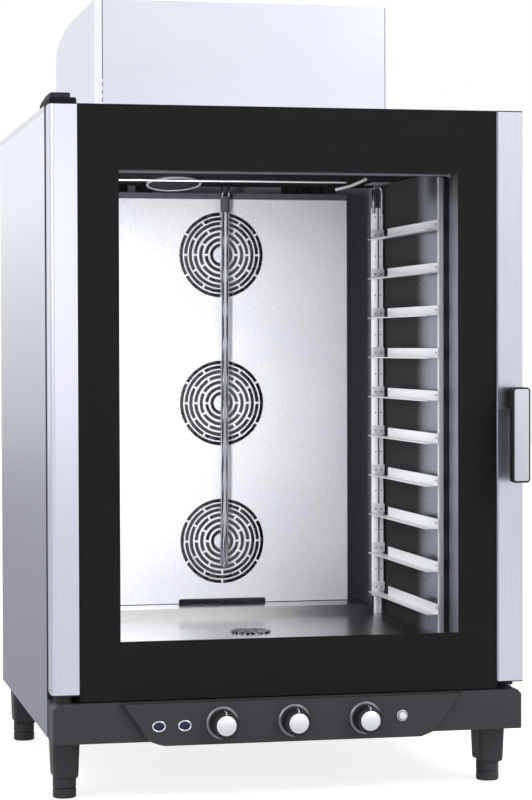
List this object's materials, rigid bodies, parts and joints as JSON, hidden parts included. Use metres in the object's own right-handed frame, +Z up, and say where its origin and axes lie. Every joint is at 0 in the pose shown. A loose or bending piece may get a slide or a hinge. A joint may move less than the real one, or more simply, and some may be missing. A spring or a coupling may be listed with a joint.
{
  "type": "convection oven",
  "caption": "Free-standing convection oven: left-hung glass door with lever handle, tray racks in a steel cavity, fans behind a slotted baffle, rotary controls, flue cowl.",
  "frame": {"origin": "on the floor, under the middle of the oven's box (handle included)", "axes": "+Z up, front (door) towards -Y, +X to the right seen from the front"},
  "size_m": [0.86, 0.89, 1.448],
  "materials": {
    "casing_steel": "brushed",
    "chassis_steel": "galvanised",
    "fixing_steel": "plated",
    "door_steel": "satin",
    "cavity_steel": "bright",
    "fan_steel": "bright",
    "heat_steel": "heat tinted",
    "bright_chrome": "polished",
    "base_plastic": "fine grain",
    "black_plastic": "satin",
    "face_metal": "satin",
    "lens_plastic": "clear tint",
    "button_plastic": "gloss",
    "door_glass": "clear",
    "glass_print": "gloss",
    "seal_rubber": "matte",
    "mineral_wool": "fibrous",
    "motor_metal": "cast",
    "fitting_brass": "turned"
  },
  "bodies": {
    "cabinet": {"side_panel_left": "casing_steel", "side_panel_right": "casing_steel", "top_cover": "casing_steel", "cowl_top": "casing_steel", "cowl_sides": "casing_steel", "cowl_front": "casing_steel", "bottom_tray": "chassis_steel", "rear_cover": "chassis_steel", "front_frame": "chassis_steel", "cover_screws": "fixing_steel", "hinge_plates": "fixing_steel", "latch_keeper": "fixing_steel", "cavity_floor": "cavity_steel", "cavity_ceiling": "cavity_steel", "cavity_walls": "cavity_steel", "fan_baffle": "cavity_steel", "heat_exchanger": "heat_steel", "flue_duct": "heat_steel", "bezels": "bright_chrome", "rack_posts": "bright_chrome", "rack_rails": "bright_chrome", "water_tube": "bright_chrome", "drain": "bright_chrome", "ceiling_lamp": "bright_chrome", "base_fascia": "base_plastic", "control_panel": "base_plastic", "leg_blocks": "base_plastic", "cable_gland": "base_plastic", "control_units": "base_plastic", "hinge_cap": "black_plastic", "lamp_lenses": "lens_plastic", "door_seal": "seal_rubber", "insulation": "mineral_wool", "fan_motors": "motor_metal", "gas_train": "fitting_brass", "water_inlet": "fitting_brass"},
    "door": {"door_column_left": "door_steel", "door_column_right": "door_steel", "door_end_caps": "black_plastic", "door_cross_bars": "door_steel", "outer_glass": "door_glass", "glass_mask": "glass_print", "inner_glass": "door_glass"},
    "handle": {"handle_lever": "black_plastic", "handle_insert": "face_metal", "handle_spindle": "fixing_steel"},
    "button": {"push_button": "button_plastic"},
    "timer_dial": {"timer_knob": "black_plastic", "timer_knob_cap": "face_metal"},
    "thermostat_dial": {"thermostat_knob": "black_plastic", "thermostat_knob_cap": "face_metal"},
    "steam_dial": {"steam_knob": "black_plastic", "steam_knob_cap": "face_metal"},
    "upper_fan": {"fan_upper": "fan_steel"},
    "middle_fan": {"fan_middle": "fan_steel"},
    "lower_fan": {"fan_lower": "fan_steel"},
    "foot_front_left_screw": {"foot_front_left": "base_plastic"},
    "foot_front_right_screw": {"foot_front_right": "base_plastic"},
    "foot_rear_left_screw": {"foot_rear_left": "base_plastic"},
    "foot_rear_right_screw": {"foot_rear_right": "base_plastic"}
  },
  "joints": [
    {"name": "door_hinge", "type": "hinge", "parent": "cabinet", "child": "door", "pos_m": [-0.406, -0.359, 0.7], "axis": [0, 0, -1], "range_deg": [0, 150]},
    {"name": "handle_turn", "type": "hinge", "parent": "door", "child": "handle", "pos_m": [0.407, -0.385, 0.71], "axis": [0, 1, 0], "range_deg": [0, 90]},
    {"name": "button_press", "type": "slide", "parent": "cabinet", "child": "button", "axis": [0, 1, 0], "range_m": [0, 0.003], "stiffness_N_per_m": 600, "springref_m": -0.001},
    {"name": "timer_turn", "type": "hinge", "parent": "cabinet", "child": "timer_dial", "pos_m": [-0.13, -0.415, 0.142], "axis": [0, 1, 0], "range_deg": [0, 300]},
    {"name": "thermostat_turn", "type": "hinge", "parent": "cabinet", "child": "thermostat_dial", "pos_m": [0, -0.415, 0.142], "axis": [0, 1, 0], "range_deg": [0, 270]},
    {"name": "steam_turn", "type": "hinge", "parent": "cabinet", "child": "steam_dial", "pos_m": [0.13, -0.415, 0.142], "axis": [0, 1, 0], "range_deg": [0, 270]},
    {"name": "upper_fan_spin", "type": "hinge", "parent": "cabinet", "child": "upper_fan", "pos_m": [0, 0.3, 0.9915], "axis": [0, 1, 0], "continuous": true},
    {"name": "middle_fan_spin", "type": "hinge", "parent": "cabinet", "child": "middle_fan", "pos_m": [0, 0.3, 0.69], "axis": [0, 1, 0], "continuous": true},
    {"name": "lower_fan_spin", "type": "hinge", "parent": "cabinet", "child": "lower_fan", "pos_m": [0, 0.3, 0.4085], "axis": [0, 1, 0], "continuous": true},
    {"name": "foot_front_left_turn", "type": "hinge", "parent": "cabinet", "child": "foot_front_left_screw", "pos_m": [-0.395, -0.275, 0.024], "axis": [0, 0, 1], "continuous": true},
    {"name": "foot_front_right_turn", "type": "hinge", "parent": "cabinet", "child": "foot_front_right_screw", "pos_m": [0.395, -0.275, 0.024], "axis": [0, 0, 1], "continuous": true},
    {"name": "foot_rear_left_turn", "type": "hinge", "parent": "cabinet", "child": "foot_rear_left_screw", "pos_m": [-0.395, 0.372, 0.024], "axis": [0, 0, 1], "continuous": true},
    {"name": "foot_rear_right_turn", "type": "hinge", "parent": "cabinet", "child": "foot_rear_right_screw", "pos_m": [0.395, 0.372, 0.024], "axis": [0, 0, 1], "continuous": true}
  ]
}
